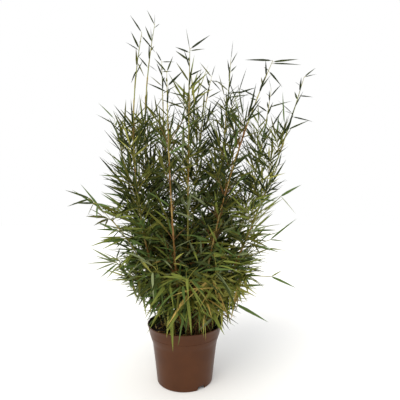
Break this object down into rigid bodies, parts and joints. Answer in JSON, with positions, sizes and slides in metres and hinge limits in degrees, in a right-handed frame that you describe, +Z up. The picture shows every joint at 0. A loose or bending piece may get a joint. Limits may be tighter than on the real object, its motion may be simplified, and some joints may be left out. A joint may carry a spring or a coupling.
{
  "type": "potted bamboo",
  "caption": "Clump of leafy bamboo canes leaning outwards from a round tapered nursery pot with a deep rim collar.",
  "frame": {"origin": "centre of the pot's flat underside, on the pot's axis", "axes": "+Z up the pot's axis, -Y to the front of the plant, +X to its right"},
  "size_m": [0.7371, 0.6155, 1.1822],
  "materials": {
    "pot": "satin",
    "soil": "matte",
    "cane": "satin",
    "red_cane": "satin",
    "leaf": "satin",
    "lower_leaf": "satin"
  },
  "bodies": {
    "root": {"pot": "pot", "soil": "soil", "cane_left_tall": "cane", "cane_left_second": "cane", "cane_left_back": "cane", "cane_red_front": "red_cane", "cane_middle": "cane", "cane_middle_back": "cane", "cane_right_upright": "cane", "cane_right_arching": "red_cane", "cane_right_second": "cane", "cane_right_outer": "cane", "cane_left_outer": "cane", "cane_back_left": "cane", "cane_back_right": "cane", "cane_left_arching": "cane", "cane_left_low": "cane", "cane_right_low": "cane", "cane_front_left": "cane", "cane_front_low": "cane", "cane_front_right": "cane", "cane_back_low": "cane", "cane_back_right_low": "cane", "foliage_left_tall_tip": "leaf", "foliage_left_tall_side": "leaf", "foliage_left_second_tip": "leaf", "foliage_left_second_side": "leaf", "foliage_left_back_tip": "leaf", "foliage_left_back_side": "leaf", "foliage_red_front_tip": "leaf", "foliage_red_front_side": "leaf", "foliage_middle_tip": "leaf", "foliage_middle_side": "leaf", "foliage_middle_back_tip": "leaf", "foliage_middle_back_side": "leaf", "foliage_right_upright_tip": "leaf", "foliage_right_upright_side": "leaf", "foliage_right_arching_tip": "leaf", "foliage_right_arching_side": "leaf", "foliage_right_second_tip": "leaf", "foliage_right_second_side": "leaf", "foliage_right_outer_tip": "leaf", "foliage_right_outer_side": "leaf", "foliage_left_outer_tip": "leaf", "foliage_left_outer_side": "leaf", "foliage_back_left_tip": "leaf", "foliage_back_left_side": "leaf", "foliage_back_right_tip": "leaf", "foliage_back_right_side": "leaf", "foliage_left_arching_tip": "leaf", "foliage_left_low_tip": "lower_leaf", "foliage_right_low_tip": "lower_leaf", "foliage_front_left_tip": "lower_leaf", "foliage_front_low_tip": "lower_leaf", "foliage_front_right_tip": "lower_leaf", "foliage_back_low_tip": "lower_leaf", "foliage_back_right_low_tip": "lower_leaf"}
  },
  "joints": []
}
